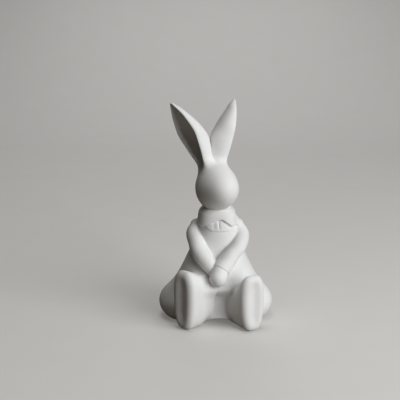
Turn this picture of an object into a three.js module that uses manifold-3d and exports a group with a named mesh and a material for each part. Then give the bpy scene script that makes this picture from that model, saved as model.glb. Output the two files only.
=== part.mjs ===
// A bisque bunny figurine that sits in a smock with its paws together, its feet apart and its head turned.
// It is assembled the way such ware is made: a hollow-cast dress, a hollow-cast head on the dress's neck
// pin, and ears, arms, legs, collar and tail cast by themselves and seated in shallow beds that their own
// shape cuts. Millimetres, +Z up. The bunny faces -Y, so its own left side is +X. The origin is on the
// surface that it stands on, below the middle of its bounding box.
import * as THREE from "three";
import { mergeVertices } from "three/addons/utils/BufferGeometryUtils.js";
import Module from "manifold-3d";

// Casting and fitting
const WALL = 3.2; // of the hollow dress and head
const CLEARANCE = 0.3; // the slip joint between a piece and the bed that it sits in
const SEAT_DEPTH = 1; // how far a limb's root sinks into the surface that carries it
const POUR_HOLE_RADIUS = 7; // in the underside, where the slip was poured out
const NECK_BORE_RADIUS = 3; // lets the air of the hollow head out during firing

// Dress: half, front and back are its widest reach to each side, forwards and backwards. The sections go from
// the hem to the neck, and at is the share of the height; the others are shares of the widest reach.
const DRESS = { height: 60.5, half: 25.6, front: 20.8, back: 24 };
const DRESS_SECTIONS = [
  { at: 0, half: 0.953, front: 0.865, back: 0.917 },
  { at: 0.132, half: 1, front: 0.86, back: 1 },
  { at: 0.23, half: 0.985, front: 0.87, back: 0.992 },
  { at: 0.28, half: 0.965, front: 0.9, back: 0.98 },
  { at: 0.32, half: 0.942, front: 0.975, back: 0.962 },
  { at: 0.352, half: 0.92, front: 1.01, back: 0.945 },
  { at: 0.39, half: 0.885, front: 0.97, back: 0.91 },
  { at: 0.446, half: 0.812, front: 0.846, back: 0.842 },
  { at: 0.579, half: 0.664, front: 0.683, back: 0.7 },
  { at: 0.694, half: 0.543, front: 0.587, back: 0.575 },
  { at: 0.826, half: 0.445, front: 0.519, back: 0.475 },
  { at: 0.926, half: 0.395, front: 0.471, back: 0.425 },
  { at: 1, half: 0.289, front: 0.346, back: 0.317 },
];
const DRESS_SQUARENESS = 2.15; // 2 is an ellipse
const HAUNCH = { left: 18.8, right: 19.8, back: 0.5, height: 8.6, half: 12.9, depth: 15.5, rise: 10.8 };
const HAUNCH_BLEND = 6; // width of the soft hollow between haunch and dress
const HEM_ARCH = { half: 9, depth: 9.5, height: 3 }; // the lifted hem between the feet

// Neck and collar
const NECK_PIN_RADIUS = 5.2;
const NECK_PIN_HEIGHT = 5; // above the top of the dress
const COLLAR = { rim: 8.3, radius: 11.1, above: 3.2, below: 4.4 };
// Its outside from the lower edge up: a rounded edge, a waist drawn in, a full shoulder, a rounded rim
const COLLAR_CURVE = { edge: 0.9, waist: 2.4, drawnIn: 0.35, shoulder: 0.3, rimDrop: 0.4 };
// The upside-down V in the collar's front, cut from near to near + deep ahead of the neck's axis and a little
// past the collar's lower edge
const PARTING = { left: 6, right: 5.2, apex: 1.2, below: 2, near: 5, deep: 10, past: 0.2 };

// Head, in a frame at the middle of the skull: the muzzle points to -Y
const HEAD_TURN = 25; // degrees to the bunny's left
const HEAD_FORWARD = 2.4; // skull ahead of the neck
const HEAD_ASIDE = 0.35; // skull to the bunny's right of the neck
const HEAD_LIFT = 1.3; // chin above the top of the dress
const SKULL = { half: 11.6, depth: 12.4, up: 13.4, down: 13.2 };
const MUZZLE = { radius: 6.6, reach: 9.6, rise: 0.6 };
const HEAD_BLEND = 7;

// Ears: D-shaped and scooped out. At the fullest section, half is half the width between the rims, deep is
// the distance from the rims to the back and wall is the thickness left behind the hollow. The sections go
// from the root to the tip, as shares of those sizes and of the length.
const EAR = { length: 43.6, half: 8.2, deep: 11, wall: 4.6 };
const EAR_SECTIONS = [
  { at: 0, half: 0.366, deep: 0.62, wall: 1.304 },
  { at: 0.183, half: 0.41, deep: 0.76, wall: 1.174 },
  { at: 0.344, half: 0.69, deep: 0.92, wall: 1.043 },
  { at: 0.45, half: 0.84, deep: 1, wall: 1 },
  { at: 0.6, half: 1, deep: 0.85, wall: 0.94 },
  { at: 0.72, half: 0.86, deep: 0.68, wall: 0.84 },
  { at: 0.849, half: 0.61, deep: 0.43, wall: 0.63 },
  { at: 0.93, half: 0.34, deep: 0.29, wall: 0.42 },
  { at: 1, half: 0.08, deep: 0.1, wall: 0.2 },
];
const EAR_ROOT = { side: 7, back: 4.7, rise: 11.2, sunk: 5 };
const EAR_LEAN_OUT = 20.9; // degrees
const EAR_LEAN_BACK = 13.8;
const EAR_SWEEP = 4.2; // how far the tip curves back
const EAR_FACING = 81; // the hollow faces this far outwards from straight ahead

// Arms: the first station lies shoulder below the top of the dress and the last one reach lower still. turn
// is the angle round the dress from the front, to the arm's own side; at and radius are shares of reach and
// radius. lift raises the left paw to lie over the right one.
const LEFT_ARM = { side: 1, shoulder: 7.5, reach: 24.7, radius: 4.9, lift: 2.6, cuff: 0.35 };
const LEFT_ARM_STATIONS = [
  { turn: 96, at: 0, radius: 0.735 },
  { turn: 86, at: 0.215, radius: 0.92 },
  { turn: 51, at: 0.405, radius: 0.93 },
  { turn: 31, at: 0.551, radius: 0.9 },
  { turn: 16, at: 0.715, radius: 0.94 },
  { turn: 5, at: 0.85, radius: 0.97 },
  { turn: 1, at: 0.98, radius: 0.97 },
];
const RIGHT_ARM = { side: -1, shoulder: 7.5, reach: 22.6, radius: 4.7, lift: 0, cuff: 0 };
const RIGHT_ARM_STATIONS = [
  { turn: 92, at: 0, radius: 0.75 },
  { turn: 79, at: 0.181, radius: 0.92 },
  { turn: 54, at: 0.35, radius: 0.94 },
  { turn: 40, at: 0.527, radius: 1 },
  { turn: 24, at: 0.704, radius: 1 },
  { turn: 12, at: 0.86, radius: 0.95 },
  { turn: 7, at: 0.95, radius: 0.8 },
];
const ARM_BED = 3; // how deep the arms lie in the dress
const PAW_LIFT_SPAN = 0.35; // share of the reach over which the arm rises by its lift
const CUFF = 0.87; // where a sleeve ends and steps down to the paw by cuff, as a share of the arm

// Legs, in a frame at the hip: the sole faces -Y. The sections go forwards from the hip, as shares of the
// length, of half the width at the hip and of the height; fall is how far the top falls away behind the foot.
const LEG = { length: 16.5, half: 7.9, height: 31.8 };
const LEG_SECTIONS = [
  { at: 0, half: 1, bottom: 0.0126, fall: 0.355 },
  { at: 0.394, half: 0.973, bottom: 0.0063, fall: 0.23 },
  { at: 0.636, half: 0.959, bottom: 0, fall: 0.069 },
  { at: 0.818, half: 0.973, bottom: 0, fall: 0 },
  { at: 1, half: 0.973, bottom: 0, fall: 0 },
];
const LEG_SQUARENESS = 2.9;
const HEEL_TAPER = 0.14; // how much narrower the heel is than the toes
const SOLE_EDGE = { inset: 4.2, ahead: 3.2 }; // rounding round the sole, seen on its face and from the side
const SOLE_HOLLOW = { depth: 0.85, half: 2.7 }; // the groove along the sole
// wide, tall and fall are what each leg's width, height and fall are multiplied by.
const LEFT_LEG = { hip: 12.3, ahead: 13.4, splay: 28, wide: 1, tall: 1, fall: 1 };
const RIGHT_LEG = { hip: 8, ahead: 13.4, splay: 45, wide: 1.08, tall: 1.05, fall: 0.4 };

const TAIL = { radius: 6, height: 13, sunk: 3 };

// Fineness of the meshes
const DRESS_SIDES = 36;
const DRESS_RINGS = 22;
const CAVITY_SIDES = 20;
const CAVITY_RINGS = 11;
const HEAD_SIDES = 28;
const HEAD_RINGS = 18;
const LIMB_SIDES = 14;
const EAR_SIDES = 18;
const EAR_RINGS = 18;
const ARM_RINGS = 14;
const LEG_RINGS = 9;
const EDGE_RINGS = 4;
const END_RINGS = 3;
const PIN_SIDES = 24;

const wasm = await Module();
wasm.setup();
const { sin, cos, tan, PI, hypot, abs, min, max, sign, exp } = Math;
const radians = THREE.MathUtils.degToRad;
const vector = (x, y, z) => new THREE.Vector3(x, y, z);

// A smooth curve through sections along a length. sizes gives what each key is a share of. read gives the
// value of a key at a distance from the start, and never overshoots between two sections.
function along(sections, length, sizes) {
  const places = sections.map((s) => s.at * length);
  const last = places.length - 1;
  const curves = {};
  for (const [key, size] of Object.entries(sizes)) {
    const values = sections.map((s) => s[key] * size);
    const steep = values.slice(1).map((v, i) => (v - values[i]) / (places[i + 1] - places[i]));
    const slopes = values.map((v, i) => {
      if (i === 0) return steep[0];
      if (i === last) return steep[last - 1];
      const product = steep[i - 1] * steep[i];
      return product <= 0 ? 0 : (2 * product) / (steep[i - 1] + steep[i]);
    });
    curves[key] = { values, slopes };
  }
  const read = (key, place) => {
    const { values, slopes } = curves[key];
    const at = min(max(place, places[0]), places[last]);
    let i = 0;
    while (i < last - 1 && at > places[i + 1]) i++;
    const span = places[i + 1] - places[i];
    const t = (at - places[i]) / span;
    const bulge = span * t * (1 - t) * (slopes[i] * (1 - t) - slopes[i + 1] * t);
    return values[i] * (1 + 2 * t) * (1 - t) ** 2 + values[i + 1] * t * t * (3 - 2 * t) + bulge;
  };
  return { end: length, read };
}

// Least of two distances, rounded where they are within width of each other.
function softMin(a, b, width) {
  const near = max(width - abs(a - b), 0) / width;
  return min(a, b) - (near * near * width) / 4;
}

// 0 up to 0, 1 from 1 on, and an even ease between.
function smooth(t) {
  const held = min(max(t, 0), 1);
  return held * held * (3 - 2 * held);
}

// Distance to an ellipsoid of the given half sizes, near enough for a blend.
function ellipsoid(x, y, z, half) {
  const scaled = hypot(x / half.x, y / half.y, z / half.z);
  const steep = hypot(x / half.x ** 2, y / half.y ** 2, z / half.z ** 2);
  return steep < 1e-9 ? -min(half.x, half.y, half.z) : (scaled * (scaled - 1)) / steep;
}

// How far from start along a direction a field rises to a level.
function reach(field, start, direction, level) {
  const probe = vector(0, 0, 0);
  let inside = 0;
  let outside = 80;
  for (let i = 0; i < 26; i++) {
    const middle = (inside + outside) / 2;
    probe.copy(start).addScaledVector(direction, middle);
    if (field(probe) < level) inside = middle;
    else outside = middle;
  }
  return inside;
}

// A closed surface through rings of points. The first and the last ring close on their own middle.
function skin(rings) {
  const sides = rings[0].length;
  const middle = (ring) => ring.reduce((sum, p) => sum.add(p), vector(0, 0, 0)).divideScalar(sides);
  const points = [...rings.flat(), middle(rings[0]), middle(rings.at(-1))];
  const index = [];
  for (let k = 0; k < sides; k++) {
    const next = (k + 1) % sides;
    for (let i = 0; i < rings.length - 1; i++) {
      const a = i * sides + k;
      const b = i * sides + next;
      index.push(a, b, b + sides, a, b + sides, a + sides);
    }
    const top = (rings.length - 1) * sides;
    index.push(points.length - 2, next, k, points.length - 1, top + k, top + next);
  }
  const geometry = new THREE.BufferGeometry().setFromPoints(points);
  geometry.setIndex(index);
  return geometry;
}

// A closed geometry as a solid whose faces point out.
function solid(geometry) {
  const bare = geometry.clone();
  bare.deleteAttribute("normal");
  bare.deleteAttribute("uv");
  const merged = mergeVertices(bare, 1e-4);
  const vertProperties = new Float32Array(merged.attributes.position.array);
  const triVerts = new Uint32Array(merged.index.array);
  const made = new wasm.Manifold(new wasm.Mesh({ numProp: 3, vertProperties, triVerts }));
  if (made.volume() > 0) return made;
  for (let i = 0; i < triVerts.length; i += 3)
    [triVerts[i + 1], triVerts[i + 2]] = [triVerts[i + 2], triVerts[i + 1]];
  return new wasm.Manifold(new wasm.Mesh({ numProp: 3, vertProperties, triVerts }));
}

// The mesh of a finished solid, with its name and finish.
function mesh(name, made, material) {
  const { vertProperties, triVerts, numProp } = made.getMesh();
  const position = new Float32Array((vertProperties.length / numProp) * 3);
  for (let i = 0; i < position.length / 3; i++)
    position.set(vertProperties.subarray(i * numProp, i * numProp + 3), i * 3);
  const geometry = new THREE.BufferGeometry();
  geometry.setAttribute("position", new THREE.BufferAttribute(position, 3));
  geometry.setIndex(new THREE.BufferAttribute(new Uint32Array(triVerts), 1));
  geometry.computeVertexNormals();
  const piece = new THREE.Mesh(geometry, material);
  piece.name = name;
  return piece;
}

// An upright round bar between two heights, its middle at x, y.
function bar(x, y, low, high, radius) {
  const geometry = new THREE.CylinderGeometry(radius, radius, high - low, PIN_SIDES);
  return geometry.rotateX(PI / 2).translate(x, y, (low + high) / 2);
}

// Dress

const dress = along(DRESS_SECTIONS, DRESS.height, { half: DRESS.half, front: DRESS.front, back: DRESS.back });
const dressTop = dress.end;

// How far outside the dress a point is, with the haunches blended in.
function dressField(p) {
  const half = dress.read("half", p.z);
  const depth = dress.read(p.y < 0 ? "front" : "back", p.z);
  const n = DRESS_SQUARENESS;
  const scaled = (abs(p.x / half) ** n + abs(p.y / depth) ** n) ** (1 / n);
  const smock = scaled < 1e-6 ? -min(half, depth) : hypot(p.x, p.y) * (1 - 1 / scaled);
  const size = vector(HAUNCH.half, HAUNCH.depth, HAUNCH.rise);
  const side = p.x > 0 ? HAUNCH.left : HAUNCH.right;
  const haunch = ellipsoid(abs(p.x) - side, p.y - HAUNCH.back, p.z - HAUNCH.height, size);
  return softMin(smock, haunch, HAUNCH_BLEND);
}

// The dress's outer surface, moved inwards by inset, or outwards where that is negative. It starts at low.
function dressSkin(inset, low = inset, sides = DRESS_SIDES, ringCount = DRESS_RINGS) {
  const rings = [];
  for (let i = 0; i <= ringCount; i++) {
    const z = low + ((dressTop - inset - low) * i) / ringCount;
    const ring = [];
    for (let k = 0; k < sides; k++) {
      const a = (2 * PI * k) / sides;
      const way = vector(cos(a), sin(a), 0);
      const axis = vector(0, 0, z);
      ring.push(axis.clone().addScaledVector(way, reach(dressField, axis, way, -inset)));
    }
    rings.push(ring);
  }
  return skin(rings);
}

// The point of the dress's surface at a height and an angle from the front, and the way that it faces.
function onDress(turn, z) {
  const a = radians(turn);
  const way = vector(sin(a), -cos(a), 0);
  const axis = vector(0, 0, z);
  return { point: axis.clone().addScaledVector(way, reach(dressField, axis, way, 0)), way };
}

const dressSolid = solid(dressSkin(0));
const underDress = -WALL; // so low that no limb reaches beneath the dress
const dressCore = solid(dressSkin(SEAT_DEPTH, underDress)); // what a limb's root stops at
const bedFloor = solid(dressSkin(SEAT_DEPTH + CLEARANCE, underDress));

// Head

// An egg for the skull with a ball for the muzzle blended into its front.
function headField(p) {
  const size = vector(SKULL.half, SKULL.depth, p.z > 0 ? SKULL.up : SKULL.down);
  const muzzle = hypot(p.x, p.y + MUZZLE.reach, p.z - MUZZLE.rise) - MUZZLE.radius;
  return softMin(ellipsoid(p.x, p.y, p.z, size), muzzle, HEAD_BLEND);
}

function headSkin(inset, sides = HEAD_SIDES, ringCount = HEAD_RINGS) {
  const skull = vector(0, 0, 0);
  const rings = [];
  for (let i = 1; i < ringCount; i++) {
    const level = -PI / 2 + (PI * i) / ringCount;
    const ring = [];
    for (let k = 0; k < sides; k++) {
      const a = (2 * PI * k) / sides;
      const way = vector(cos(level) * cos(a), cos(level) * sin(a), sin(level));
      ring.push(way.clone().multiplyScalar(reach(headField, skull, way, -inset)));
    }
    rings.push(ring);
  }
  return skin(rings);
}

// Ears

const ear = along(EAR_SECTIONS, EAR.length, { half: EAR.half, deep: EAR.deep, wall: EAR.wall });

// side is 1 for the left ear and -1 for the right one. The line between the rims starts in the head, leans
// out and back and sweeps back towards the tip; the leaf curls round behind it.
function earSkin(side, grow = 0) {
  const lean = vector(side * tan(radians(EAR_LEAN_OUT)), tan(radians(EAR_LEAN_BACK)), 1);
  const axis = lean.normalize();
  const out = radians(EAR_FACING);
  const open = vector(side * sin(out), -cos(out), 0);
  open.addScaledVector(axis, -open.dot(axis)).normalize();
  const across = axis.clone().cross(open);
  const toRoot = vector(side * EAR_ROOT.side, EAR_ROOT.back, EAR_ROOT.rise).normalize();
  const root = toRoot.multiplyScalar(reach(headField, vector(0, 0, 0), toRoot, 0));
  root.addScaledVector(axis, -EAR_ROOT.sunk);
  const rings = [];
  for (let i = 0; i <= EAR_RINGS; i++) {
    const share = i / EAR_RINGS;
    const length = ear.end * share;
    const half = ear.read("half", length);
    const wall = ear.read("wall", length);
    const back = ear.read("deep", length) - wall / 2;
    const spine = root.clone().addScaledVector(axis, length + (2 * share - 1) * grow);
    spine.y += EAR_SWEEP * share ** 3;
    const ring = [];
    for (let k = 0; k < EAR_SIDES; k++) {
      const a = (2 * PI * k) / EAR_SIDES;
      const bend = (PI / 2 + grow / half) * cos(a);
      const swell = (wall / 2 + grow) * sin(a);
      const point = spine.clone().addScaledVector(open, -(back + swell) * cos(bend));
      ring.push(point.addScaledVector(across, (half + swell) * sin(bend)));
    }
    rings.push(ring);
  }
  return skin(rings);
}

// Arms

// The arm's middle line lies over the dress, bedded in it, and its radius follows the stations.
function armLine(size, stations) {
  const points = stations.map(({ turn, at, radius }) => {
    const { point, way } = onDress(size.side * turn, dressTop - size.shoulder - size.reach * at);
    const rise = size.lift * max((at - 1 + PAW_LIFT_SPAN) / PAW_LIFT_SPAN, 0);
    return point.addScaledVector(way, size.radius * radius - ARM_BED + rise);
  });
  return new THREE.CatmullRomCurve3(points, false, "centripetal");
}

function armSkin(size, stations, grow = 0) {
  const line = armLine(size, stations);
  const frames = line.computeFrenetFrames(ARM_RINGS, false);
  const radiusAt = (share) => {
    const place = share * (stations.length - 1);
    const i = min(Math.floor(place), stations.length - 2);
    const t = place - i;
    const eased = smooth(t);
    const [near, far] = [stations[i].radius, stations[i + 1].radius];
    const sleeve = 0.8 * smooth((share - 0.5) / (CUFF - 0.5));
    const step = smooth((share - CUFF) / 0.02) * (1 - 0.5 * smooth((share - CUFF - 0.02) / 0.14));
    return size.radius * (near + (far - near) * eased) + size.cuff * (sleeve - step) + grow;
  };
  const ringAt = (middle, i, radius) => {
    const ring = [];
    for (let k = 0; k < LIMB_SIDES; k++) {
      const a = (2 * PI * k) / LIMB_SIDES;
      const point = middle.clone().addScaledVector(frames.normals[i], cos(a) * radius);
      ring.push(point.addScaledVector(frames.binormals[i], sin(a) * radius));
    }
    return ring;
  };
  const end = (i, way) => {
    const middle = line.getPointAt(i / ARM_RINGS);
    const radius = radiusAt(i / ARM_RINGS);
    const rings = [];
    for (let j = 1; j <= END_RINGS; j++) {
      const a = (PI / 2) * (j / (END_RINGS + 0.5));
      const at = middle.clone().addScaledVector(frames.tangents[i], way * radius * sin(a));
      rings.push(ringAt(at, i, radius * cos(a)));
    }
    return rings;
  };
  const tube = frames.tangents.map((t, i) =>
    ringAt(line.getPointAt(i / ARM_RINGS), i, radiusAt(i / ARM_RINGS)),
  );
  return skin([...end(0, -1).reverse(), ...tube, ...end(ARM_RINGS, 1)]);
}

// Legs

const leg = along(LEG_SECTIONS, LEG.length, { half: LEG.half, bottom: LEG.height, fall: LEG.height });

// One cross-section of the leg: an upright oval with squared sides, drawn in towards the heel. over turns
// from 0 on the leg to a quarter turn on the sole, where scale shrinks it and the groove sinks into it.
function legRing(size, over, ahead, scale, grow) {
  const inset = SOLE_EDGE.inset * (1 - cos(over)) - grow;
  const half = leg.read("half", ahead) * size.wide - inset;
  const bottom = leg.read("bottom", ahead) + inset;
  const full = LEG.height * size.tall;
  const top = full - leg.read("fall", ahead) * size.fall * size.tall - inset;
  const stretch = grow * ((2 * ahead) / leg.end - 1);
  const ring = [];
  for (let k = 0; k < LIMB_SIDES * 2; k++) {
    const a = (PI * k) / LIMB_SIDES;
    const squared = (v) => sign(v) * abs(v) ** (2 / LEG_SQUARENESS);
    const up = squared(sin(a));
    const x = squared(cos(a)) * (1 - (HEEL_TAPER * (1 - up)) / 2) * half * scale;
    const z = (bottom + top) / 2 + (up * (top - bottom) * scale) / 2;
    const groove = SOLE_HOLLOW.depth * exp(-((x / SOLE_HOLLOW.half) ** 2)) * sin(over) ** 2;
    const sunk = groove * smooth(z / full / 0.3) * smooth((1 - z / full) / 0.26);
    ring.push(vector(x, sunk - ahead - stretch, z));
  }
  return ring;
}

function legSkin(size, grow = 0) {
  const side = LEG.length - SOLE_EDGE.ahead;
  const rings = [];
  for (let i = 0; i <= LEG_RINGS; i++) rings.push(legRing(size, 0, (side * i) / LEG_RINGS, 1, grow));
  for (let i = 1; i <= EDGE_RINGS; i++) {
    const over = (PI / 2) * (i / EDGE_RINGS);
    rings.push(legRing(size, over, side + SOLE_EDGE.ahead * sin(over), 1, grow));
  }
  const sole = [0.7, 0.45, 0.2].map((scale) => legRing(size, PI / 2, LEG.length, scale, grow));
  return skin([...rings, ...sole]);
}

// Collar: a rolled band round the neck. Its inside is cut by the head and the dress.
function collarRing(grow = 0) {
  const { rim, radius, above, below } = COLLAR;
  const { edge, waist, drawnIn, shoulder, rimDrop } = COLLAR_CURVE;
  const profile = [
    [NECK_PIN_RADIUS + CLEARANCE - grow, dressTop - below - grow],
    [radius - edge, dressTop - below - grow],
    [radius + grow, dressTop - below + edge],
    [radius - drawnIn + grow, dressTop - below + waist],
    [(rim + radius) / 2 + shoulder + grow, dressTop + above / 3],
    [rim + edge + grow, dressTop + above - rimDrop + grow],
    [rim, dressTop + above + grow],
    [NECK_PIN_RADIUS + CLEARANCE - grow, dressTop + above + grow],
  ];
  const points = [...profile, profile[0]].map(([r, z]) => new THREE.Vector2(r, z));
  return new THREE.LatheGeometry(points, DRESS_SIDES).rotateX(PI / 2);
}

// The wedge that parts the collar in front: its apex is below the top of the dress, and it opens downwards.
function partingWedge() {
  const low = -COLLAR.below - PARTING.past;
  const corners = [[-PARTING.right, low], [PARTING.left, low], [PARTING.apex, -PARTING.below]];
  const outline = new THREE.Shape(corners.map(([x, z]) => new THREE.Vector2(x, z)));
  const wedge = new THREE.ExtrudeGeometry(outline, { depth: PARTING.deep, bevelEnabled: false });
  return wedge.rotateX(PI / 2).translate(0, -PARTING.near, dressTop);
}

function tailBall(grow = 0) {
  const { point, way } = onDress(180, TAIL.height);
  const middle = point.addScaledVector(way, TAIL.radius - TAIL.sunk);
  return new THREE.SphereGeometry(TAIL.radius + grow, 16, 12).translate(middle.x, middle.y, middle.z);
}

// Frames: each nested group places its own pieces.
const figurine = new THREE.Group();
const headGroup = new THREE.Group();
headGroup.position.set(-HEAD_ASIDE, -HEAD_FORWARD, dressTop + HEAD_LIFT + SKULL.down);
headGroup.rotation.z = radians(HEAD_TURN);
const legGroups = [
  { group: new THREE.Group(), side: 1, size: LEFT_LEG, name: "left_leg" },
  { group: new THREE.Group(), side: -1, size: RIGHT_LEG, name: "right_leg" },
];
figurine.add(headGroup);
for (const { group, side, size } of legGroups) {
  group.position.set(side * size.hip, -size.ahead, 0);
  group.rotation.z = side * radians(size.splay);
  figurine.add(group);
}
figurine.updateMatrixWorld(true);

// A geometry of one group's frame, as seen from another group's frame.
function seenFrom(group, geometry, from = figurine) {
  const matrix = group.matrixWorld.clone().invert().multiply(from.matrixWorld);
  return geometry.clone().applyMatrix4(matrix);
}

// The solid of a geometry of one group's frame, in the figurine's frame
const bodyOf = (geometry, from = figurine) => solid(seenFrom(figurine, geometry, from));

// What one limb cuts out of the dress: its own shape with the joint's clearance, down to the bed's floor.
const bed = (limb, from = figurine) => bodyOf(limb, from).subtract(bedFloor);

const bisque = new THREE.MeshStandardMaterial({ color: 0xefece5, roughness: 0.78, metalness: 0 });

// Neck pin of the dress and its bore
const pinTop = dressTop + NECK_PIN_HEIGHT;
const pin = (grow) => bar(0, 0, dressTop - WALL, pinTop + grow, NECK_PIN_RADIUS + grow);
const bore = bar(0, 0, dressTop - 2 * WALL, pinTop + WALL, NECK_BORE_RADIUS);

// Arms. They lie above the legs, and where a lower dress brings them down onto the legs, these cut them back.
const legsGrown = legGroups.map(({ group, size }) => bodyOf(legSkin(size, CLEARANCE), group));
const offLegs = (arm) => legsGrown.reduce((rest, leg) => rest.subtract(leg), arm);
const leftArmGrown = armSkin(LEFT_ARM, LEFT_ARM_STATIONS, CLEARANCE);
const rightArmGrown = armSkin(RIGHT_ARM, RIGHT_ARM_STATIONS, CLEARANCE);
const collarGrown = solid(collarRing(CLEARANCE));
const leftArm = offLegs(solid(armSkin(LEFT_ARM, LEFT_ARM_STATIONS)))
  .subtract(dressCore)
  .subtract(collarGrown);
const rightArm = offLegs(solid(armSkin(RIGHT_ARM, RIGHT_ARM_STATIONS)))
  .subtract(dressCore)
  .subtract(collarGrown)
  .subtract(solid(leftArmGrown));

// Dress body
let body = dressSolid
  .subtract(solid(dressSkin(WALL, WALL, CAVITY_SIDES, CAVITY_RINGS)))
  .add(solid(pin(0)))
  .subtract(solid(bore))
  .subtract(solid(bar(0, 0, -WALL, 2 * WALL, POUR_HOLE_RADIUS)));
const arch = new THREE.SphereGeometry(1, 24, 16).scale(HEM_ARCH.half, HEM_ARCH.depth, HEM_ARCH.height);
body = body.subtract(solid(arch.translate(0, -dress.read("front", 0), 0)));
body = body.subtract(bed(leftArmGrown)).subtract(bed(rightArmGrown));
body = body.subtract(bed(tailBall(CLEARANCE)));
for (const { group, size } of legGroups)
  body = body.subtract(bed(legSkin(size, CLEARANCE), group));
figurine.add(mesh("dress_body", body, bisque));
figurine.add(mesh("left_arm", leftArm, bisque));
figurine.add(mesh("right_arm", rightArm, bisque));

// Legs
for (const { group, size, name } of legGroups) {
  const root = solid(seenFrom(group, dressSkin(SEAT_DEPTH, underDress)));
  group.add(mesh(name, solid(legSkin(size)).subtract(root), bisque));
}

// Tail
figurine.add(mesh("tail", solid(tailBall()).subtract(dressCore), bisque));

// Head and ears
const cavity = solid(headSkin(WALL, CAVITY_SIDES, CAVITY_RINGS));
let head = solid(headSkin(0)).subtract(cavity).subtract(solid(seenFrom(headGroup, pin(CLEARANCE))));
const earFloor = solid(headSkin(SEAT_DEPTH + CLEARANCE));
for (const side of [1, -1]) head = head.subtract(solid(earSkin(side, CLEARANCE)).subtract(earFloor));
headGroup.add(mesh("head", head, bisque));
const skullCore = solid(headSkin(SEAT_DEPTH));
const leftEar = solid(earSkin(1)).subtract(skullCore);
const rightEar = solid(earSkin(-1)).subtract(skullCore).subtract(solid(earSkin(1, CLEARANCE)));
headGroup.add(mesh("left_ear", leftEar, bisque));
headGroup.add(mesh("right_ear", rightEar, bisque));

// Collar
const collar = solid(collarRing())
  .subtract(solid(dressSkin(-CLEARANCE)))
  .subtract(solid(pin(CLEARANCE)))
  .subtract(solid(partingWedge()))
  .subtract(solid(seenFrom(figurine, headSkin(-CLEARANCE), headGroup)));
figurine.add(mesh("collar", collar, bisque));

// The origin is on the surface that the bunny stands on, below the middle of its bounding box.
const box = new THREE.Box3().setFromObject(figurine);
figurine.position.set(-(box.min.x + box.max.x) / 2, -(box.min.y + box.max.y) / 2, -box.min.z);

const part = new THREE.Group();
part.add(figurine);

export default part;
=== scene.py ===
"""A bisque bunny figurine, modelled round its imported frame.

The bunny sits in a smock with its paws together, its feet apart and its head turned. Each piece of the frame
gets a fine surface of its own, worked out with numpy from the same forms: the smock with its haunches, the
skull with its muzzle, the curled leaves of the ears, the round limbs bedded in the smock, the collar and the
tail. Where a piece grows out of another one, its foot flares into it, as slip does where it seals a joint.

Metres, +Z up. The bunny faces -Y, so its own left side is +X.
"""

import bpy
import numpy as np
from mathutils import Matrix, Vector


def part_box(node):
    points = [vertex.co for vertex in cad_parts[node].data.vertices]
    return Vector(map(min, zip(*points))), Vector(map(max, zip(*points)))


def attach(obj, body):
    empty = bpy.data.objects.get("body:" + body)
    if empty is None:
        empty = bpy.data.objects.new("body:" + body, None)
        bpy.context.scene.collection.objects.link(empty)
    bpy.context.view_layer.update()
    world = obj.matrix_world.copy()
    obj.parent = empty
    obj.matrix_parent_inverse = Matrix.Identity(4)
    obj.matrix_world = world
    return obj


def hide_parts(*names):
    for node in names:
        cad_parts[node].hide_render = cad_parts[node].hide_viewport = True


bl_info = {
    "name": "Bisque bunny figurine",
    "version": (1, 0, 0),
    "blender": (4, 5, 0),
    "location": "3D View > Sidebar > Bunny",
    "description": "A seated bunny of unglazed porcelain, piece by piece",
    "category": "Add Mesh",
}

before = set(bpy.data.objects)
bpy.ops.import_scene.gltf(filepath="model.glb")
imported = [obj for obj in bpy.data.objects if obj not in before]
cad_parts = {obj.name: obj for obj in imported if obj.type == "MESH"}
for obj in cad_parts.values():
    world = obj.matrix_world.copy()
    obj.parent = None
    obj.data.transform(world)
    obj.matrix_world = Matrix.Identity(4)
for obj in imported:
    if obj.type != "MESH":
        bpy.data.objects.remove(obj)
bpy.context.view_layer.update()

MM = 0.001
BODY = "root"

# The smock and the collar turn round one upright axis, and the collar stands on the smock's top.
COLLAR_ABOVE = 3.2 * MM
COLLAR_LOW, COLLAR_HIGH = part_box("collar")
AXIS = (COLLAR_LOW + COLLAR_HIGH) / 2
SMOCK_TOP = COLLAR_HIGH.z - COLLAR_ABOVE
TAIL_LOW, TAIL_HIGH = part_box("tail")

# Sections of the smock from the hem to the neck: height, half width, front and back, as shares
SMOCK_SECTIONS = (
    (0, 0.953, 0.85, 0.917),
    (0.132, 1, 0.815, 1),
    (0.23, 0.985, 0.815, 0.992),
    (0.28, 0.965, 0.865, 0.98),
    (0.32, 0.942, 0.965, 0.962),
    (0.352, 0.92, 1.01, 0.945),
    (0.39, 0.885, 0.97, 0.91),
    (0.446, 0.812, 0.862, 0.842),
    (0.579, 0.664, 0.683, 0.7),
    (0.694, 0.543, 0.587, 0.575),
    (0.826, 0.445, 0.519, 0.475),
    (0.926, 0.395, 0.471, 0.425),
    (1, 0.289, 0.346, 0.317),
)
SMOCK_SQUARENESS = 2.15
HEM_SQUARENESS = 2.6  # of the lifted hem, seen from the front
HEM_LIFT_START, HEM_LIFT_RUN = 5 * MM, 9 * MM  # the lift starts this far ahead and grows over the run

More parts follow.
